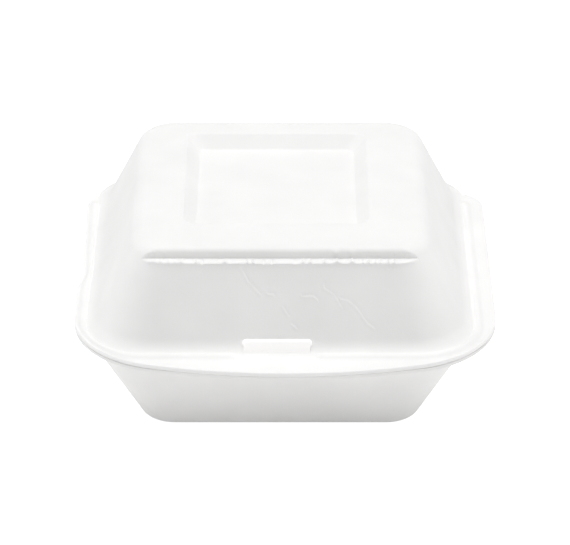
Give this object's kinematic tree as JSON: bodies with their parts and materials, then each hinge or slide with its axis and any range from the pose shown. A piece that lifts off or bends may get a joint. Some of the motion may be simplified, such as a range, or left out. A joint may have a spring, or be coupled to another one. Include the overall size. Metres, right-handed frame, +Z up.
{
  "type": "foam clamshell container",
  "caption": "Square foam food box of two tapered bowls joined by a fold at the rear, with a flange all round, a front tab and slot latch and a sunk panel in the lid.",
  "frame": {"origin": "on the table, under the middle of the closed box's outline", "axes": "+Z up, +X to the right as seen from the latch, +Y from the latch at the front to the fold at the rear"},
  "size_m": [0.15, 0.15, 0.072],
  "materials": {
    "tray_foam": "white polystyrene foam with a soft satin skin",
    "lid_foam": "white polystyrene foam with a soft satin skin"
  },
  "bodies": {
    "base": {"base": "tray_foam"},
    "lid": {"lid": "lid_foam"}
  },
  "joints": [
    {"name": "lid_hinge", "type": "hinge", "parent": "base", "child": "lid", "pos_m": [0, 0.075, 0.0385], "axis": [-1, 0, 0], "range_deg": [0, 180]}
  ]
}
